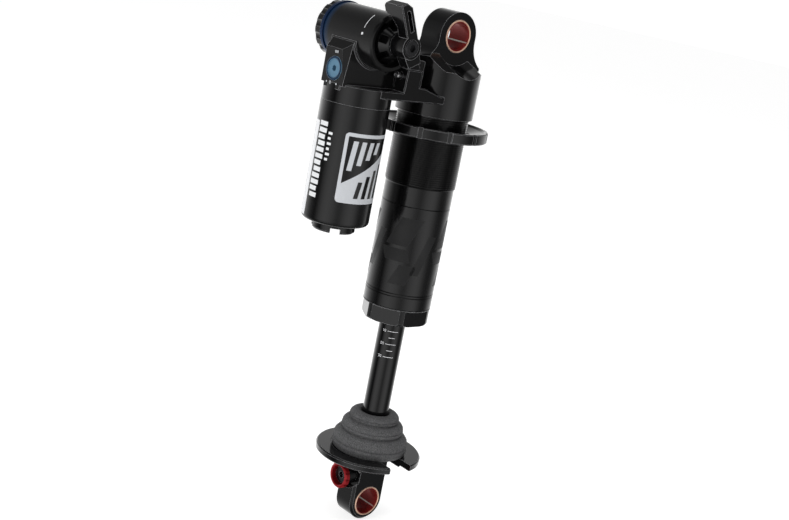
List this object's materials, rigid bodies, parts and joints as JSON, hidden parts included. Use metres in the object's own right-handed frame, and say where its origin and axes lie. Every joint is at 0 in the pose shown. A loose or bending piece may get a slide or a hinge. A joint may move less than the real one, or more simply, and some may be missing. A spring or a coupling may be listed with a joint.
{
  "type": "rear shock",
  "caption": "Mountain-bike coil rear shock without its spring: damper with two eyelets, side reservoir, compression dials, lever, preload collar, foam bumper and C-shaped spring retainer.",
  "frame": {"origin": "centre of the lower eyelet's bore", "axes": "+Z along the damper axis to the upper eyelet, +Y along both eyelet bores, away from the lever; the reservoir is on the -X side"},
  "size_m": [0.0898, 0.057, 0.2525],
  "materials": {
    "gloss_black": "gloss black anodised",
    "satin_black": "satin black anodised",
    "shaft_black": "polished, black coated",
    "dark_steel": "black oxide",
    "steel": "ground",
    "plain_aluminium": "machined",
    "blue": "blue anodised",
    "light_blue": "light blue anodised",
    "red": "red anodised",
    "bronze": "copper-coloured bush shell",
    "liner_red": "dark red low-friction liner",
    "brass": "turned",
    "rubber": "matt black",
    "nylon": "black nylon",
    "foam": "grey microcellular foam"
  },
  "bodies": {
    "damper_body": {"head_casting": "gloss_black", "upper_bush_shell": "bronze", "upper_bush_liner": "liner_red", "damper_tube": "satin_black", "seal_head": "gloss_black", "wiper_seal": "rubber", "oil_seal": "rubber", "shaft_guide_bush": "bronze", "top_out_bumper": "rubber", "reservoir_can": "satin_black", "charge_valve": "brass", "valve_guard": "gloss_black", "compression_barrel": "satin_black", "compression_valve": "steel", "compression_shims": "steel", "lever_bezel": "gloss_black", "stop_screw": "steel"},
    "floating_piston": {"floating_piston": "plain_aluminium", "floating_piston_seal": "rubber"},
    "lever": {"threshold_lever": "gloss_black", "lever_spindle": "steel", "lever_bolt": "dark_steel"},
    "low_speed_dial": {"low_speed_ring": "blue", "low_speed_knob": "gloss_black"},
    "low_speed_needle": {"low_speed_needle": "steel"},
    "high_speed_dial": {"high_speed_adjuster": "light_blue"},
    "collar_ring": {"collar_friction_ring": "nylon"},
    "collar": {"preload_collar": "gloss_black"},
    "shaft": {"damper_shaft": "shaft_black", "main_piston": "plain_aluminium", "piston_band": "nylon", "rebound_shims": "steel", "piston_nut": "steel", "bottom_out_bumper": "foam", "lower_eyelet": "gloss_black", "lower_bush_shell": "bronze", "lower_bush_liner": "liner_red"},
    "rebound_dial": {"rebound_dial": "red", "rebound_dial_core": "gloss_black"},
    "rebound_rod": {"rebound_rod": "plain_aluminium"},
    "retainer": {"spring_retainer": "gloss_black"}
  },
  "joints": [
    {"name": "shaft_slide", "type": "slide", "parent": "damper_body", "child": "shaft", "axis": [0, 0, 1], "range_m": [0, 0.065], "deforming": ["bottom_out_bumper"]},
    {"name": "floating_piston_slide", "type": "slide", "parent": "damper_body", "child": "floating_piston", "axis": [0, 0, -1], "range_m": [0, 0.0145]},
    {"name": "lever_turn", "type": "hinge", "parent": "damper_body", "child": "lever", "pos_m": [-0.0475, -0.025, 0.2245], "axis": [0, 1, 0], "range_deg": [0, 50]},
    {"name": "low_speed_turn", "type": "hinge", "parent": "damper_body", "child": "low_speed_dial", "pos_m": [-0.0475, 0.019, 0.2245], "axis": [0, 1, 0], "range_deg": [-150, 150]},
    {"name": "low_speed_needle_slide", "type": "slide", "parent": "damper_body", "child": "low_speed_needle", "axis": [0, 1, 0], "range_m": [-0.0004, 0.0004]},
    {"name": "high_speed_turn", "type": "hinge", "parent": "damper_body", "child": "high_speed_dial", "pos_m": [-0.0625, 0, 0.2093], "axis": [1, 0, 0], "range_deg": [-60, 60]},
    {"name": "collar_travel", "type": "slide", "parent": "damper_body", "child": "collar_ring", "axis": [0, 0, 1], "range_m": [-0.0081, 0.0041]},
    {"name": "collar_turn", "type": "hinge", "parent": "collar_ring", "child": "collar", "pos_m": [0, 0, 0.1865], "axis": [0, 0, 1], "range_deg": [-2880, 1440]},
    {"name": "rebound_turn", "type": "hinge", "parent": "shaft", "child": "rebound_dial", "pos_m": [-0.0125, 0, 0.0131], "axis": [1, 0, 0], "range_deg": [-176, 176]},
    {"name": "rebound_rod_slide", "type": "slide", "parent": "shaft", "child": "rebound_rod", "axis": [0, 0, 1], "range_m": [-0.000425, 0.000425]},
    {"name": "retainer_turn", "type": "hinge", "parent": "shaft", "child": "retainer", "pos_m": [0, 0, 0.0245], "axis": [0, 0, 1], "continuous": true}
  ],
  "couplings": [
    {"joint": "floating_piston_slide", "follows": "shaft_slide", "ratio": 0.21801},
    {"joint": "low_speed_needle_slide", "follows": "low_speed_turn", "m_per_rad": 0.00012732},
    {"joint": "collar_travel", "follows": "collar_turn", "m_per_rad": 0.00015915},
    {"joint": "rebound_turn", "follows": "rebound_rod_slide", "rad_per_m": 6981.3}
  ]
}
